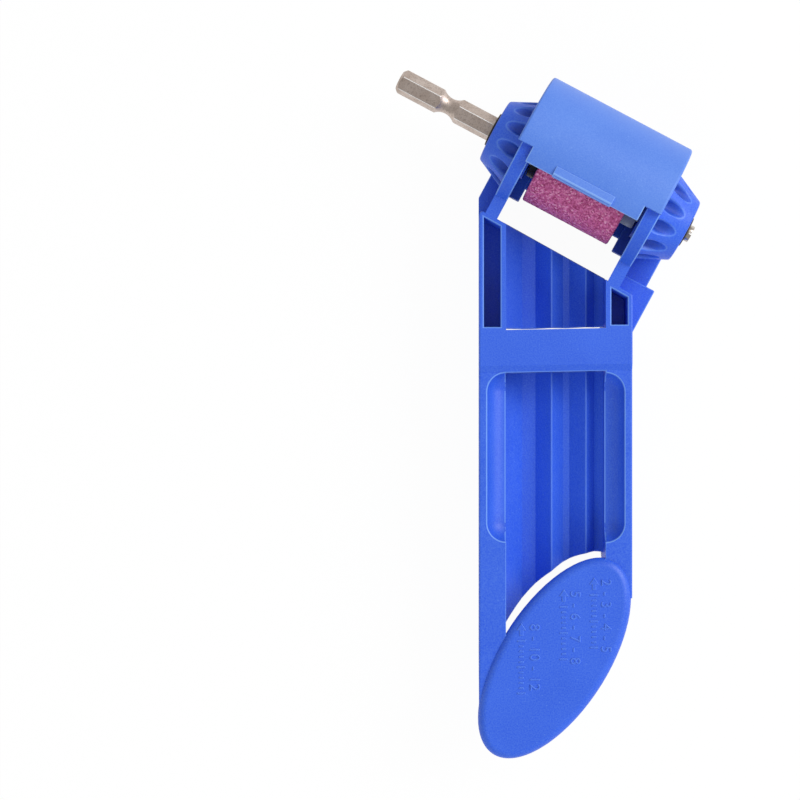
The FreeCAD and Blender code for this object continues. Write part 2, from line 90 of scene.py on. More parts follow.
def close_seams(shape):
    """Joins the seams of a drawn shape and turns its faces outwards."""
    bmesh.ops.remove_doubles(shape, verts=shape.verts[:], dist=WELD)
    bmesh.ops.recalc_face_normals(shape, faces=shape.faces[:])


def keep_corners(shape, angle=SHARP_ANGLE):
    """Leaves the shading crisp across every corner that isn't rounded."""
    for edge in shape.edges:
        edge.smooth = edge.calc_face_angle(0.0) < angle


def outer_corners(shape):
    return [
        edge for edge in shape.edges
        if edge.is_manifold and edge.is_convex and edge.calc_face_angle() > SHARP_ANGLE
    ]


def close_slivers(shape):
    """Closes up the tiny edges at the ends of long corners, which would leave a round no room."""
    tiny = {
        other
        for edge in outer_corners(shape) if edge.calc_length() > LONG_CORNER
        for vert in edge.verts
        for other in vert.link_edges if other.calc_length() < SLIVER
    }
    bmesh.ops.collapse(shape, edges=list(tiny))


def bevelled(shape, edges, width, steps):
    """Bevels some edges and gives the new faces."""
    made = bmesh.ops.bevel(
        shape, geom=edges, offset=width, offset_type="OFFSET", segments=steps, profile=0.5,
        affect="EDGES", clamp_overlap=False, material=-1,
    )
    return made["faces"]


def ease_edges(shape, width):
    """Rounds every outer edge that has room for it, and keeps the other corners crisp."""
    close_slivers(shape)
    mark = shape.faces.layers.float.new(EDGE_MARK)

    def on_round(edge):
        return any(face[mark] for face in edge.link_faces)

    def has_room(edge, offset):
        around = [other for vert in edge.verts for other in vert.link_edges]
        return min(other.calc_length() for other in around) > ROUND_ROOM * offset

    for share in ROUND_SHARES:
        offset = share * width
        chosen = [edge for edge in outer_corners(shape) if has_room(edge, offset) and not on_round(edge)]
        for face in bevelled(shape, chosen, offset, ROUND_STEPS):
            face[mark] = 1.0
    keep_corners(shape)
    for edge in shape.edges:
        within_round = all(face[mark] for face in edge.link_faces)
        if within_round and edge.is_convex and edge.calc_face_angle(math.pi) < ROUND_ANGLE:
            edge.smooth = True


def placed(name, data):
    made = bpy.data.objects.new(name, data)
    bpy.context.scene.collection.objects.link(made)
    return made


def piece(shape, name, material, body):
    """Turns a bmesh into a smooth-shaded piece that rides on a body."""
    mesh = bpy.data.meshes.new(name)
    shape.to_mesh(mesh)
    shape.free()
    mesh.polygons.foreach_set("use_smooth", [True] * len(mesh.polygons))
    mesh.materials.append(material)
    made = placed(name, mesh)
    weighted = made.modifiers.new("even_shading", "WEIGHTED_NORMAL")
    weighted.mode = "FACE_AREA"
    weighted.weight = LARGE_FACES
    weighted.keep_sharp = True
    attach(made, body)
    return made


def stand_in(shape, node, name, material):
    """Shows a piece in place of a CAD node, on the node's body, and hides the node."""
    made = piece(shape, name, material, BODY_OF[node])
    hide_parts(node)


def eased_node(node, name, material, width, trim=None):
    """Stands a rounded copy in for a CAD node; a trim shapes the copy before it is rounded."""
    shape = joined(node)
    if trim:
        trim(shape)
    ease_edges(shape, width)
    stand_in(shape, node, name, material)


TONGUE_LENGTH = 17.8 * MM           # of its front edge
TONGUE_SLANT = 0.8 * MM
LENGTH_SLACK = 0.05 * MM


def slant_tongue(shape):
    """Slants the front edge of the guard's raised tongue, which is its foremost edge of that length."""
    along = [edge for edge in shape.edges if abs(edge.calc_length() - TONGUE_LENGTH) < LENGTH_SLACK]
    front = max(along, key=lambda edge: sum(vert.co.z - vert.co.y for vert in edge.verts))
    bevelled(shape, [front], TONGUE_SLANT, 1)


# Node helpers


def opaque(colour, share=1.0):
    """A colour for a socket, at a share of its brightness."""
    return (*[share * part for part in colour], 1.0)


def add(tree, kind, settings=None, inputs=None):
    """Adds a node; an input is either a value or the output socket that feeds it."""
    made = tree.nodes.new(kind)
    for key, value in (settings or {}).items():
        setattr(made, key, value)
    for key, value in (inputs or {}).items():
        socket = made.inputs[key]
        if isinstance(value, bpy.types.NodeSocket):
            tree.links.new(value, socket)
        else:
            socket.default_value = value
    return made


def ramp(tree, factor, places, colours):
    """A colour ramp with a colour at each place."""
    made = add(tree, "ShaderNodeValToRGB", inputs={"Fac": factor})
    band = made.color_ramp
    while len(band.elements) < len(places):
        band.elements.new(0.5)
    for element, place, colour in zip(band.elements, places, colours):
        element.position = place
        element.color = opaque(colour)
    return made.outputs["Color"]


def ranged(tree, value, given, wanted):
    """Maps one range of a value onto another and stops at its ends."""
    made = add(tree, "ShaderNodeMapRange", {"clamp": True}, {
        "Value": value,
        "From Min": given[0], "From Max": given[1],
        "To Min": wanted[0], "To Max": wanted[1],
    })
    return made.outputs["Result"]


def combined(tree, operation, first, second):
    return add(tree, "ShaderNodeMath", {"operation": operation}, {0: first, 1: second}).outputs[0]


def mixed(tree, factor, first, second):
    made = add(tree, "ShaderNodeMix", {"data_type": "RGBA"}, {"Factor": factor, "A": first, "B": second})
    return made.outputs["Result"]


def object_place(tree):
    return add(tree, "ShaderNodeTexCoord").outputs["Object"]


def clouds(tree, place, scale, detail=2.0, roughness=0.5):
    made = add(tree, "ShaderNodeTexNoise", inputs={
        "Vector": place, "Scale": scale, "Detail": detail, "Roughness": roughness,
    })
    return made.outputs["Fac"]


def grains(tree, place, scale):
    """Outputs of a pattern of cells, one to a grain."""
    return add(tree, "ShaderNodeTexVoronoi", inputs={"Vector": place, "Scale": scale}).outputs


def bump(tree, shader, height, strength, distance):
    made = add(tree, "ShaderNodeBump", inputs={
        "Height": height, "Strength": strength, "Distance": distance,
    })
    tree.links.new(made.outputs["Normal"], shader.inputs["Normal"])


def mark_share(tree, mark, share):
    """How far a marked place takes on its own tint."""
    marked = add(tree, "ShaderNodeAttribute", {"attribute_name": mark}).outputs["Fac"]
    return ranged(tree, marked, (0.0, 1.0), (0.0, share))


def new_group(name, inputs, outputs):
    """An empty node group with float inputs and outputs, plus its two end nodes."""
    tree = bpy.data.node_groups.new(name, "ShaderNodeTree")
    for label, value in inputs.items():
        socket = tree.interface.new_socket(label, in_out="INPUT", socket_type="NodeSocketFloat")
        socket.default_value = value
    for label in outputs:
        tree.interface.new_socket(label, in_out="OUTPUT", socket_type="NodeSocketFloat")
    return tree, tree.nodes.new("NodeGroupInput"), tree.nodes.new("NodeGroupOutput")


def put_out(tree, wanted, values):
    for label, value in values.items():
        tree.links.new(value, wanted.inputs[label])


def blank_material(name):
    made = bpy.data.materials.new(name)
    made.use_nodes = True
    made.node_tree.nodes.clear()
    return made, made.node_tree


def new_material(name):
    made, tree = blank_material(name)
    shader = add(tree, "ShaderNodeBsdfPrincipled")
    add(tree, "ShaderNodeOutputMaterial", inputs={"Surface": shader.outputs["BSDF"]})
    return made, tree, shader


# Finishes

CLOUD_SPAN = (0.3, 0.7)             # noise values, from the lowest to the highest that are common

SPECK_RIM = (0.05, 0.16)            # distances, from a speck's middle to its rim
SPECK_PATCHES = 240.0               # scale of the patches that specks keep to
PATCH_RIM = (0.42, 0.56)            # noise values, from outside a patch to inside it


def moulded_skin_group():
    """The skin of a moulded part: fine spark grain, slow mottling and a few dust specks."""
    tree, given, wanted = new_group(
        "moulded_skin",
        {"Grain Scale": 2600.0, "Mottle Scale": 55.0, "Speck Scale": 640.0},
        ("Height", "Mottle", "Specks"),
    )
    place = object_place(tree)
    grain = clouds(tree, place, given.outputs["Grain Scale"], detail=3.0, roughness=0.6)
    mottle = clouds(tree, place, given.outputs["Mottle Scale"], detail=4.0, roughness=0.55)
    dust = grains(tree, place, given.outputs["Speck Scale"])
    specks = ranged(tree, dust["Distance"], SPECK_RIM, (1.0, 0.0))
    patches = clouds(tree, place, SPECK_PATCHES, detail=1.0)
    kept = ranged(tree, patches, PATCH_RIM, (0.0, 1.0))
    put_out(tree, wanted, {
        "Height": grain, "Mottle": mottle, "Specks": combined(tree, "MULTIPLY", specks, kept),
    })
    return tree


PIT_SCALE = 2100.0
PIT_SPAN = (0.5, 0.72)              # noise values, from no pit to a full one
PIT_COVER = 0.6                     # how far a full pit hides the metal


def turned_lines_group():
    """Fine rings left by turning, one after the other along the spindle, with slow tarnish and pits."""
    tree, given, wanted = new_group(
        "turned_lines",
        {"Ring Scale": 2200.0, "Tarnish Scale": 160.0, "Pit Scale": PIT_SCALE},
        ("Height", "Tarnish", "Pits"),
    )
    place = object_place(tree)
    on_spindle = add(tree, "ShaderNodeMapping", {"vector_type": "TEXTURE"}, {
        "Vector": place, "Location": HUB, "Rotation": (0.0, 0.0, SPINDLE_TURN),
    }).outputs["Vector"]
    along = add(tree, "ShaderNodeSeparateXYZ", inputs={0: on_spindle}).outputs["X"]
    only_along = add(tree, "ShaderNodeCombineXYZ", inputs={0: along}).outputs[0]
    rings = clouds(tree, only_along, given.outputs["Ring Scale"])
    tarnish = clouds(tree, place, given.outputs["Tarnish Scale"], detail=4.0, roughness=0.6)
    fine = clouds(tree, place, given.outputs["Pit Scale"], detail=3.0, roughness=0.65)
    pits = ranged(tree, fine, PIT_SPAN, (0.0, PIT_COVER))
    put_out(tree, wanted, {"Height": rings, "Tarnish": tarnish, "Pits": pits})
    return tree


MOULDED_SKIN = moulded_skin_group()
TURNED_LINES = turned_lines_group()

PLASTIC_ROUGHNESS = (0.42, 0.52)
PLASTIC_IOR = 1.5
GLINT_SPAN = (0.35, 0.65)           # heights of the grain over which it turns paler, as painted glints
GLINT_TINT = 0.22                   # how far the grain's painted glints, the specks, the painted flute shade and the painted edge highlights take on their tints
SPECK_TINT = 0.3
FLUTE_SHADE_TINT = 0.5
EDGE_TINT = 0.8
FLUTE_SHADE_LEVEL = 0.3                  # brightness of the painted shade in the flutes, next to the dark plastic
EDGE_HIGHLIGHT_HEIGHTS = (15 * MM, 21 * MM)    # heights over which the painted edge highlight grows, from above the ridges of the grooves to below the front edges
EDGE_HIGHLIGHT_SHARES = (0.4, 1.0)             # edges at the front get a stronger painted highlight
SKIN_BUMP = 0.3
SKIN_HEIGHT = 0.04 * MM


def moulded_plastic(name, dark, light, pale):
    """Satin mottled plastic, with painted shade deep in the flutes and a painted highlight on its rounded edges,
    strongest at the front.
    """
    made, tree, shader = new_material(name)
    skin = add(tree, "ShaderNodeGroup", {"node_tree": MOULDED_SKIN})
    body = ramp(tree, skin.outputs["Mottle"], CLOUD_SPAN, (dark, light))
    glints = ranged(tree, skin.outputs["Height"], GLINT_SPAN, (0.0, GLINT_TINT))
    grained = mixed(tree, glints, body, opaque(pale))
    faint = ranged(tree, skin.outputs["Specks"], (0.0, 1.0), (0.0, SPECK_TINT))
    dusted = mixed(tree, faint, grained, opaque(pale))
    # painted shade deep in the flutes
    flute_shaded = mixed(tree, mark_share(tree, FLUTE_SHADE_MARK, FLUTE_SHADE_TINT), dusted, opaque(dark, FLUTE_SHADE_LEVEL))
    # painted highlight on rounded edges and lips, stronger on the front edges than low in the grooves
    height = add(tree, "ShaderNodeSeparateXYZ", inputs={0: object_place(tree)}).outputs["Z"]
    reach = ranged(tree, height, EDGE_HIGHLIGHT_HEIGHTS, EDGE_HIGHLIGHT_SHARES)
    edge_highlight = combined(tree, "MULTIPLY", mark_share(tree, EDGE_MARK, EDGE_TINT), reach)
    highlighted = mixed(tree, edge_highlight, flute_shaded, opaque(pale))
    tree.links.new(highlighted, shader.inputs["Base Color"])
    gloss = ranged(tree, skin.outputs["Mottle"], CLOUD_SPAN, PLASTIC_ROUGHNESS)
    tree.links.new(gloss, shader.inputs["Roughness"])
    shader.inputs["IOR"].default_value = PLASTIC_IOR
    bump(tree, shader, skin.outputs["Height"], SKIN_BUMP, SKIN_HEIGHT)
    return made


TARNISH_SPAN = (0.35, 0.72)         # noise values, from clean to tarnished
PIT_SHADE = 0.45                    # brightness of the pits, next to the tarnish
BRIGHT_TINT = 0.9                   # how far rounded edges take on their edge colour
RING_BUMP = 0.15
RING_HEIGHT = 0.02 * MM


def turned_metal(name, clean, tarnished, roughness, metallic=1.0, edge_colour=None, pit_scale=PIT_SCALE):
    """Machined steel with turning rings and fine pits; its rounded edges may take an edge colour, which on the
    shank's corners is a painted highlight.
    """
    made, tree, shader = new_material(name)
    lines = add(tree, "ShaderNodeGroup", {"node_tree": TURNED_LINES}, {"Pit Scale": pit_scale})
    colour = ramp(tree, lines.outputs["Tarnish"], TARNISH_SPAN, (clean, tarnished))
    finish = mixed(tree, lines.outputs["Pits"], colour, opaque(tarnished, PIT_SHADE))
    if edge_colour:
        finish = mixed(tree, mark_share(tree, EDGE_MARK, BRIGHT_TINT), finish, opaque(edge_colour))
    tree.links.new(finish, shader.inputs["Base Color"])
    gloss = ranged(tree, lines.outputs["Tarnish"], CLOUD_SPAN, roughness)
    tree.links.new(gloss, shader.inputs["Roughness"])
    shader.inputs["Metallic"].default_value = metallic
    bump(tree, shader, lines.outputs["Height"], RING_BUMP, RING_HEIGHT)
    return made


GRIT_SCALE = 2300.0
GRIT_PLACES = (0.0, 0.45, 0.85, 1.0)        # places of the tints among the grains
GRIT_TINTS = ((0.34, 0.042, 0.14), (0.66, 0.140, 0.35), (0.82, 0.235, 0.48), (0.96, 0.46, 0.66))
GRIT_ROUGHNESS = 0.85
GRIT_BUMP = 0.35
GRIT_HEIGHT = 0.12 * MM
BOND_SCALE = 1300.0
BOND_TINT = (0.40, 0.058, 0.18)
BOND_SPAN = (0.35, 0.6)             # noise values, from bond to bare grains
BOND_SHARES = (0.55, 1.0)           # shares of the grains' tints there


def corundum():
    """Bonded pink abrasive: grains of several tints with darker bond between them."""
    made, tree, shader = new_material("pink_corundum")
    place = object_place(tree)
    grit = grains(tree, place, GRIT_SCALE)
    pick = add(tree, "ShaderNodeSeparateColor", inputs={0: grit["Color"]}).outputs[0]
    tints = ramp(tree, pick, GRIT_PLACES, GRIT_TINTS)
    patches = clouds(tree, place, BOND_SCALE, detail=3.0, roughness=0.6)
    bare = ranged(tree, patches, BOND_SPAN, BOND_SHARES)
    tree.links.new(mixed(tree, bare, opaque(BOND_TINT), tints), shader.inputs["Base Color"])
    shader.inputs["Roughness"].default_value = GRIT_ROUGHNESS
    bump(tree, shader, combined(tree, "ADD", grit["Distance"], patches), GRIT_BUMP, GRIT_HEIGHT)
    return made


HANDLE_PLASTIC = moulded_plastic(
    "handle_plastic",
    dark=(0.015, 0.093, 0.715), light=(0.022, 0.112, 0.77), pale=(0.17, 0.36, 0.88),
)
GUARD_PLASTIC = moulded_plastic(
    "guard_plastic",
    dark=(0.072, 0.195, 0.725), light=(0.087, 0.223, 0.765), pale=(0.24, 0.44, 0.91),
)
CORUNDUM = corundum()
# its edge colour is a painted highlight on the hexagon's corner flats
PLATED_STEEL = turned_metal(
    "plated_steel",
    clean=(0.70, 0.60, 0.54), tarnished=(0.52, 0.42, 0.36), roughness=(0.40, 0.52),
    edge_colour=(0.98, 0.97, 0.96),
)
# its edge colour darkens the screw's rounded edges
SCREW_STEEL = turned_metal(
    "screw_steel",
    clean=(0.66, 0.60, 0.54), tarnished=(0.50, 0.44, 0.38), roughness=(0.20, 0.30),
    edge_colour=(0.40, 0.34, 0.28), pit_scale=9000.0,
)
GREY_STEEL = turned_metal(
    "grey_steel",
    clean=(0.30, 0.34, 0.44), tarnished=(0.20, 0.23, 0.31), roughness=(0.28, 0.45),
)
BLACK_STEEL = turned_metal(
    "black_steel",
    clean=(0.020, 0.019, 0.021), tarnished=(0.045, 0.038, 0.036), roughness=(0.40, 0.55), metallic=0.3,
)
BEARING_STEEL = turned_metal(
    "bearing_steel",
    clean=(0.62, 0.62, 0.63), tarnished=(0.45, 0.45, 0.46), roughness=(0.15, 0.28),
)
BRASS = turned_metal(
    "brass_cage",
    clean=(0.66, 0.47, 0.19), tarnished=(0.50, 0.33, 0.12), roughness=(0.22, 0.38),
)

SLOT_FINISH = {
    "blue_plastic": HANDLE_PLASTIC,
    "corundum": CORUNDUM,
    "plated_steel": PLATED_STEEL,
    "grey_steel": GREY_STEEL,
    "black_steel": BLACK_STEEL,
    "bearing_steel": BEARING_STEEL,
    "brass_cage": BRASS,
}

for name, node in frame["nodes"].items():
    node.data.materials.clear()
    node.data.materials.append(SLOT_FINISH[SLOT_OF[name]])

# Rounded stand-ins for the pieces that show: CAD node, piece, finish, width of the round and any trim

EASED = [
    ("handle_body", "moulded_handle", HANDLE_PLASTIC, 0.34 * MM),
    ("wheel_guard", "wheel_cover", GUARD_PLASTIC, 0.30 * MM, slant_tongue),
    ("wheel_collar", "clamp_collar", BLACK_STEEL, 0.25 * MM),
    ("wheel_nut", "clamp_nut", GREY_STEEL, 0.14 * MM),
    ("left_washer", "thrust_washer_left", BLACK_STEEL, 0.12 * MM),
    ("right_washer", "thrust_washer_right", BLACK_STEEL, 0.12 * MM),
    ("end_screw", "slotted_screw", SCREW_STEEL, 0.12 * MM),
]
for entry in EASED:
    eased_node(*entry)


# Turned pieces, drawn along the spindle from the wheel centre, with sizes in millimetres


def turned(section, steps, lead=0.0):
    """Turns a line of (place along the spindle, radius) pairs into a closed shape."""
    shape = bmesh.new()
    side = Vector((0, math.sin(lead), math.cos(lead)))
    verts = [shape.verts.new((Vector((u, 0, 0)) + side * radius) * MM) for u, radius in section]
    edges = [shape.edges.new(pair) for pair in zip(verts, verts[1:])]
    bmesh.ops.spin(
        shape, geom=verts + edges, cent=(0, 0, 0), axis=(1, 0, 0),
        angle=2 * math.pi, steps=steps, use_merge=True,
    )
    close_seams(shape)
    return shape


def spread(first, last, count):
    """Even values from the first to the last, in a number of steps."""
    return [first + (last - first) * k / count for k in range(count + 1)]


def from_nearest(place, first, count):
    """Angle of a point about the spindle from the nearest of some even places round it."""
    pitch = 2 * math.pi / count
    turn = math.atan2(place.y, place.z) - first
    return (turn + pitch / 2) % pitch - pitch / 2


def draw_in(vert, share):
    """Scales a vertex's distance from the spindle's axis."""
    vert.co.y *= share
    vert.co.z *= share


CAP_HEIGHT = 9.0
CAP_BASE_RADIUS = 13.4
CAP_FACE_RADIUS = 9.05
CAP_ROUND = 0.5             # round of the face's edge
CAP_ROUND_STEPS = 5
CAP_SEAT_RADIUS = 6.5       # bearing seat in the face
CAP_SEAT_DEPTH = 5.3
CAP_SPIGOT_RADIUS = 8.5     # through the arm
CAP_SPIGOT_LENGTH = 4.1
CAP_BORE_RADIUS = 4.7
CAP_STEPS = 480
CAP_ROWS = 44
CAP_CORNER = math.radians(50)       # between faces that meet in a true corner
FLUTES = 12
FLUTE_CIRCLE = 12.3         # centres of the flutes
FLUTE_RADIUS = 2.0
FLUTE_SIDE = 4.0            # slope of a flute's sides
FLUTE_LEAN = 0.45           # how fast the sides draw in above the centres
FLUTE_LIP = 0.25            # round between the cone and a flute
FLUTE_SHADE = 1.4           # depth at which the painted shade in a flute is darkest
LIP_HIGHLIGHT = 0.6               # share of the painted edge highlight on a lip, next to other edges


def flute_floor(turn, cone):
    """Radius of a flute's surface at an angle from its middle, cut into a cone's radius, and its slope."""
    across = abs(FLUTE_CIRCLE * math.sin(turn))
    rise = max(cone - FLUTE_CIRCLE, 0.0)
    mouth_half = math.sqrt(FLUTE_RADIUS ** 2 - rise ** 2)
    round_half = mouth_half - FLUTE_LEAN * (rise + 2 * FLUTE_LIP)
    curved = min(across, round_half)
    depth = math.sqrt(FLUTE_RADIUS ** 2 - curved ** 2)
    radius = FLUTE_CIRCLE * math.cos(turn) - depth
    if across > round_half:
        return radius + (across - round_half) * FLUTE_SIDE, FLUTE_SIDE
    return radius, curved / depth


def fluted(place, cone, phase):
    """Radius of a cap's surface where its cone and flutes run together, and its share of the lip."""
    floor_radius, slope = flute_floor(from_nearest(place, phase, FLUTES), cone)
    blend = FLUTE_LIP * (0.5 + slope)
    near = max(blend - abs(cone - floor_radius), 0.0) / blend
    return min(cone, floor_radius) - near ** 2 * blend / 4, near


def cap_section(base):
    """Line round half of a cap, from the back of its bore over the cone and the seat."""
    out = math.copysign(1, base)
    face = base + out * CAP_HEIGHT
    inner = base - out * CAP_SPIGOT_LENGTH
    seat = face - out * CAP_SEAT_DEPTH
    shoulder = face - out * CAP_ROUND
    slope = (CAP_FACE_RADIUS - CAP_BASE_RADIUS) / CAP_HEIGHT
    line = [(inner, CAP_BORE_RADIUS), (inner, CAP_SPIGOT_RADIUS), (base, CAP_SPIGOT_RADIUS)]
    line += [(u, CAP_BASE_RADIUS + slope * abs(u - base)) for u in spread(base, shoulder, CAP_ROWS)]
    for t in spread(0.0, 1.0, CAP_ROUND_STEPS)[1:]:
        u = shoulder + out * CAP_ROUND * (1 - (1 - t) ** 2)
        line.append((u, CAP_FACE_RADIUS - slope * CAP_ROUND * (1 - t) ** 2 - CAP_ROUND * t ** 2))
    line += [(face, CAP_SEAT_RADIUS), (seat, CAP_SEAT_RADIUS)]
    line += [(seat, CAP_BORE_RADIUS), (inner, CAP_BORE_RADIUS)]
    return line


def fluted_cap(node, name, base, phase):
    """A coned cap with flutes round its foot, a bearing seat in its face and a spigot through the arm."""
    shape = turned(cap_section(base), CAP_STEPS)
    lip = shape.verts.layers.float.new(EDGE_MARK)
    painted_shade = shape.verts.layers.float.new(FLUTE_SHADE_MARK)
    for vert in shape.verts:
        cone = vert.co.yz.length / MM
        if cone > CAP_SPIGOT_RADIUS + WELD / MM:
            radius, near = fluted(vert.co, cone, phase)
            # a lip takes a share of the painted edge highlight, and the flute's depth sets its painted shade
            vert[lip] = LIP_HIGHLIGHT * near
            vert[painted_shade] = min((cone - radius) / FLUTE_SHADE, 1.0)
            draw_in(vert, radius / cone)
    keep_corners(shape, CAP_CORNER)
    shape.transform(FROM_HEAD)
    stand_in(shape, node, name, HANDLE_PLASTIC)


WHEEL_RADIUS = 13.55
WHEEL_HALF = 13.5
WHEEL_BORE = 3.0
WHEEL_CHAMFER = 0.3
GRAIN_STEPS = 250           # round the wheel
GRAIN_ROWS = 80             # along it
GRAIN_DEPTH = 0.11
GRAIN_SIZE = 0.55


def abrasive_drum():
    """The wheel, with its outside broken up into grains."""
    rim = WHEEL_RADIUS - WHEEL_CHAMFER
    flat = WHEEL_HALF - WHEEL_CHAMFER
    section = [(-WHEEL_HALF, WHEEL_BORE), (-WHEEL_HALF, rim)]
    section += [(u, WHEEL_RADIUS) for u in spread(-flat, flat, GRAIN_ROWS)]
    section += [(WHEEL_HALF, rim), (WHEEL_HALF, WHEEL_BORE), (-WHEEL_HALF, WHEEL_BORE)]
    shape = turned(section, GRAIN_STEPS)
    for vert in shape.verts:
        radius = vert.co.yz.length
        if radius > rim * MM - WELD:
            worn = 0.5 + 0.5 * noise.noise(vert.co / (GRAIN_SIZE * MM))
            draw_in(vert, 1 - max(worn, 0.0) * GRAIN_DEPTH * MM / radius)
    shape.transform(FROM_HEAD)
    stand_in(shape, "grinding_wheel", "abrasive_drum", CORUNDUM)


SHANK_FLATS = 6.35          # quarter-inch hexagon
SHANK_CORNER = math.radians(13)     # one corner of it, from the front
SHANK_STEPS = 96            # a corner lies midway between two of them, so it comes out as a narrow flat
SHANK_TIP = -59.9
TIP_CHAMFER = 1.0
TIP_STEPS = 10
SHOULDER = -30.2            # where the hexagon ends
DETENT = -44.15             # middle of the detent groove
DETENT_HALF = 3.11          # half its width
DETENT_NECK = 2.35          # least radius of the shank in it
DETENT_ROUND = 4.35         # radius of its hollow
DETENT_STEPS = 48
JOURNAL_RADIUS = 3.0
JOURNAL_END = 30.7
TAP_RADIUS = 1.5
TAP_END = 21.6              # bottom of the tapped hole
BRIGHT_REACH = 0.96         # share of the corners' radius beyond which their flats take a painted highlight


def spindle_section(corner):
    """Line from the shank's tip over its detent groove and the journal into the tapped end."""
    line = [(SHANK_TIP, 0.0)]
    line += [(SHANK_TIP + t, corner - TIP_CHAMFER + t) for t in spread(0.0, TIP_CHAMFER, TIP_STEPS)]
    for off in spread(-DETENT_HALF, DETENT_HALF, DETENT_STEPS):
        line.append((DETENT + off, DETENT_NECK + DETENT_ROUND - math.sqrt(DETENT_ROUND ** 2 - off ** 2)))
    line += [(SHOULDER, corner), (SHOULDER, JOURNAL_RADIUS), (JOURNAL_END, JOURNAL_RADIUS)]
    line += [(JOURNAL_END, TAP_RADIUS), (TAP_END, TAP_RADIUS), (TAP_END, 0.0)]
    return line


def from_corner(place):
    """Angle of a point about the spindle from the hexagon's nearest corner."""
    return from_nearest(place, SHANK_CORNER, 6)


def hex_spindle():
    """A hexagon shank with a detent groove, turned down to a round journal with a tapped end."""
    corner = SHANK_FLATS / math.sqrt(3)
    half_step = math.pi / SHANK_STEPS
    shape = turned(spindle_section(corner), SHANK_STEPS, SHANK_CORNER + half_step)
    for vert in shape.verts:
        if vert.co.x < SHOULDER * MM + WELD:
            radius = vert.co.yz.length
            across = SHANK_FLATS / 2 * MM / math.cos(math.pi / 6 - abs(from_corner(vert.co)))
            if radius > across:
                draw_in(vert, across / radius)
    # the corner flats far out on the hexagon get the steel's painted highlight
    mark = shape.faces.layers.float.new(EDGE_MARK)
    for face in shape.faces:
        spot = face.calc_center_median()
        far_out = spot.yz.length > BRIGHT_REACH * corner * MM
        face[mark] = 1.0 if far_out and abs(from_corner(spot)) < half_step / 2 else 0.0
    keep_corners(shape)
    shape.transform(FROM_HEAD)
    stand_in(shape, "drive_spindle", "hex_spindle", PLATED_STEEL)


fluted_cap("left_bearing_cap", "fluted_cap_left", base=-20.5, phase=math.radians(10.0))
fluted_cap("right_bearing_cap", "fluted_cap_right", base=22.0, phase=math.radians(12.3))
abrasive_drum()
hex_spindle()


# Raised marks on the end plate: plain numbers, a row of ticks and an arrow for each of the three grooves

PLATE_CENTRE = HUB + Vector((-9.53, -133.9, 8.9)) * MM     # on the plate's front face
MARK_HEIGHT = 0.26 * MM
MARK_SINK = 0.12 * MM       # part of the marks inside the plate
MARK_ROUND = 0.09 * MM
MARK_TOP = 0.9              # upright share of a face's normal, past which it is a mark's flat top
DIGIT_SIZE = 4.0 * MM
DIGIT_SPACING = 1.08
DIGIT_CURVES = 4            # steps in the digits' curves

# Outlines and spots on the plate, in millimetres
TICKS = 11
FIRST_TICK = 3.2            # below the arrow's middle
TICK_PITCH = 1.45
TICK_HALF = 0.22
SHORT_TICK = 0.6            # half lengths
LONG_TICK = 1.1
LONG_EVERY = 5
ARROW = ((0.0, 1.7), (1.25, -0.2), (0.5, -0.2), (0.5, -1.7), (-0.5, -1.7), (-0.5, -0.2), (-1.25, -0.2))
MARKS = [
    ("2 - 3 - 4 - 5", (14.1, 22.3), (10.9, 21.0)),
    ("5 - 6 - 7 - 8", (5.6, 19.0), (2.55, 17.7)),
    ("8 - 10 - 12", (-5.6, 9.8), (-9.2, 8.2)),
]


def on_plate(x, y, lift=0.0):
    """A place on the end plate's front face, in millimetres from its middle, raised by a lift in metres."""
    return PLATE_CENTRE + Vector((x * MM, y * MM, lift))


def add_text(shape, words, spot):
    """Adds raised numbers that run down the plate from a spot."""
    curve = bpy.data.curves.new("mark_text", "FONT")
    curve.body = words
    curve.size = DIGIT_SIZE
    curve.space_character = DIGIT_SPACING
    curve.align_y = "CENTER"
    curve.extrude = (MARK_HEIGHT + MARK_SINK) / 2 - MARK_ROUND
    curve.bevel_depth = MARK_ROUND
    curve.bevel_resolution = 0
    curve.offset = -MARK_ROUND
    curve.resolution_u = DIGIT_CURVES
    holder = placed("mark_text", curve)
    bpy.context.view_layer.update()
    ready = holder.evaluated_get(bpy.context.evaluated_depsgraph_get())
    mesh = bpy.data.meshes.new_from_object(ready)
    place = on_plate(*spot, (MARK_HEIGHT - MARK_SINK) / 2)
    mesh.transform(Matrix.Translation(place) @ Matrix.Rotation(-math.pi / 2, 4, "Z"))
    shape.from_mesh(mesh)
    bpy.data.objects.remove(holder)
    bpy.data.curves.remove(curve)
    bpy.data.meshes.remove(mesh)


def add_block(shape, outline, spot):
    """Adds a raised block with the given outline about a spot."""
    verts = [shape.verts.new(on_plate(spot[0] + x, spot[1] + y, -MARK_SINK)) for x, y in outline]
    face = shape.faces.new(verts)
    grown = bmesh.ops.extrude_face_region(shape, geom=[face])["geom"]
    raised = [item for item in grown if isinstance(item, bmesh.types.BMVert)]
    top = [item for item in grown if isinstance(item, bmesh.types.BMFace)]
    bmesh.ops.translate(shape, verts=raised, vec=(0, 0, MARK_HEIGHT + MARK_SINK - MARK_ROUND))
    for item in top:
        item.normal_update()
    bmesh.ops.inset_region(shape, faces=top, thickness=MARK_ROUND, use_even_offset=True)
    crown = list({vert for item in top for vert in item.verts})
    bmesh.ops.translate(shape, verts=crown, vec=(0, 0, MARK_ROUND))


def tick(half_length):
    """Outline of a tick that runs across the plate."""
    return [
        (-half_length, -TICK_HALF), (half_length, -TICK_HALF),
        (half_length, TICK_HALF), (-half_length, TICK_HALF),
    ]


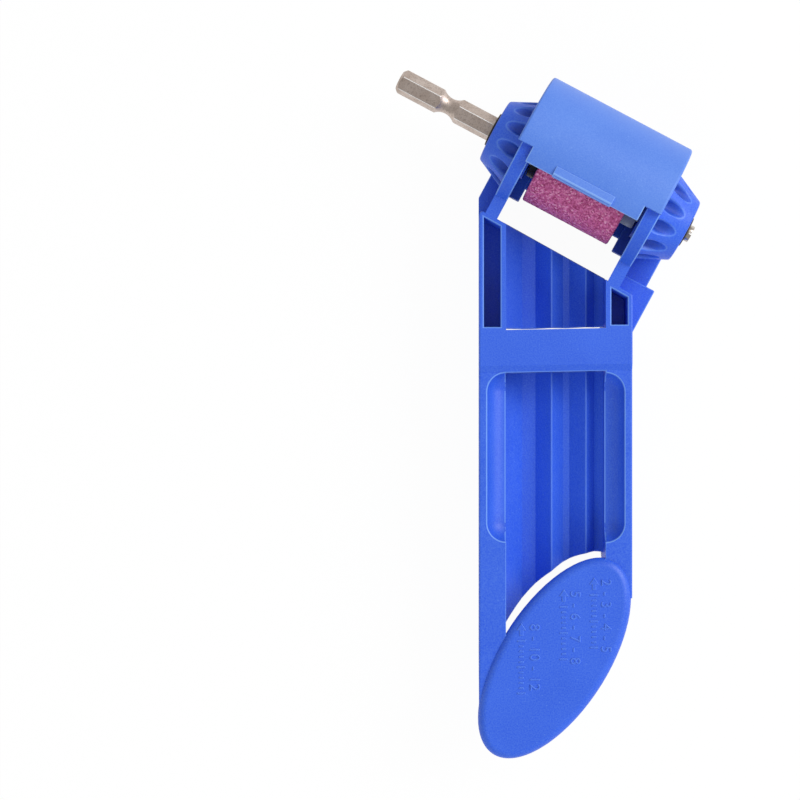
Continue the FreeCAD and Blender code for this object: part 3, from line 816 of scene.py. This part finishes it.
def plate_marks():
    shape = bmesh.new()
    for words, text_spot, (arrow_x, arrow_y) in MARKS:
        add_text(shape, words, text_spot)
        add_block(shape, ARROW, (arrow_x, arrow_y))
        for k in range(TICKS):
            outline = tick(SHORT_TICK if k % LONG_EVERY else LONG_TICK)
            add_block(shape, outline, (arrow_x, arrow_y - FIRST_TICK - k * TICK_PITCH))
    close_seams(shape)
    # the sides of the marks take the plastic's painted edge highlight
    mark = shape.faces.layers.float.new(EDGE_MARK)
    for face in shape.faces:
        face[mark] = 0.0 if abs(face.normal.z) > MARK_TOP else 1.0
    keep_corners(shape)
    piece(shape, "plate_marks", HANDLE_PLASTIC, "handle")


plate_marks()


# Stage, light and camera

FLOOR_HALF = 3.0
FLOOR_DROP = 0.05 * MM
FLOOR_GLOW = 0.96           # share of the floor's white that shadows don't touch
FLOOR_BOUNCE = 0.8          # grey of the floor where it only throws light back


def floor_material():
    """White where it is seen or mirrored, with a faint shadow, and a plain pale floor to other light."""
    made, tree = blank_material("white_floor")
    path = add(tree, "ShaderNodeLightPath").outputs
    mirrored = combined(tree, "MAXIMUM", path["Is Glossy Ray"], path["Is Transmission Ray"])
    seen = combined(tree, "MAXIMUM", path["Is Camera Ray"], mirrored)
    bounce = add(tree, "ShaderNodeBsdfDiffuse", inputs={"Color": opaque([FLOOR_BOUNCE] * 3)})
    shadow = add(tree, "ShaderNodeBsdfDiffuse", inputs={"Color": opaque([1.0 - FLOOR_GLOW] * 3)})
    glow = add(tree, "ShaderNodeEmission", inputs={"Strength": FLOOR_GLOW})
    look = add(tree, "ShaderNodeAddShader", inputs={0: shadow.outputs[0], 1: glow.outputs[0]})
    both = add(tree, "ShaderNodeMixShader", inputs={
        0: seen, 1: bounce.outputs[0], 2: look.outputs[0],
    })
    add(tree, "ShaderNodeOutputMaterial", inputs={"Surface": both.outputs[0]})
    return made


def floor():
    shape = bmesh.new()
    bmesh.ops.create_grid(shape, x_segments=1, y_segments=1, size=FLOOR_HALF)
    bmesh.ops.translate(shape, verts=shape.verts[:], vec=(0, 0, -FLOOR_DROP))
    mesh = bpy.data.meshes.new("floor")
    shape.to_mesh(mesh)
    shape.free()
    mesh.materials.append(floor_material())
    placed("floor", mesh)


SKY_STRENGTH = 0.48


def soft_box(name, place, width, height, power, mirrored=True):
    """An area lamp aimed at the origin; one that isn't mirrored leaves no gloss on the object."""
    lamp = bpy.data.lights.new(name, "AREA")
    lamp.shape = "RECTANGLE"
    lamp.size = width
    lamp.size_y = height
    lamp.energy = power
    made = placed(name, lamp)
    made.location = place
    made.rotation_mode = "QUATERNION"
    made.rotation_quaternion = (-Vector(place)).to_track_quat("-Z", "Y")
    made.visible_glossy = mirrored


def studio_light():
    world = bpy.data.worlds.new("studio")
    world.use_nodes = True
    sky = world.node_tree.nodes["Background"].inputs
    sky["Color"].default_value = (1.0, 1.0, 1.0, 1.0)
    sky["Strength"].default_value = SKY_STRENGTH
    bpy.context.scene.world = world
    soft_box("key_light", (0.90, 0.42, 0.80), width=0.8, height=0.8, power=11.5)
    soft_box("foot_light", (-0.15, -1.0, 0.80), width=0.8, height=0.5, power=4.4, mirrored=False)


# The camera, from the wheel centre
CAMERA_PLACE = HUB + Vector((-33.26, -62.0, 520.0)) * MM
CAMERA_AIM = HUB + Vector((-52.76, -62.09, 0.0)) * MM
CAMERA_LENS = 82.82         # focal length and sensor in millimetres, as the camera takes them
CAMERA_SENSOR = 36.0
CAMERA_NEAR = 10 * MM


def camera():
    lens = bpy.data.cameras.new("camera")
    lens.lens = CAMERA_LENS
    lens.sensor_width = CAMERA_SENSOR
    lens.clip_start = CAMERA_NEAR
    made = placed("camera", lens)
    made.location = CAMERA_PLACE
    made.rotation_mode = "QUATERNION"
    back = (CAMERA_PLACE - CAMERA_AIM).normalized()
    right = Vector((0, 1, 0)).cross(back).normalized()
    turn = Matrix((right, back.cross(right), back)).transposed()
    made.rotation_quaternion = turn.to_quaternion()
    bpy.context.scene.camera = made


floor()
studio_light()
camera()
bpy.context.scene.view_settings.view_transform = "Standard"
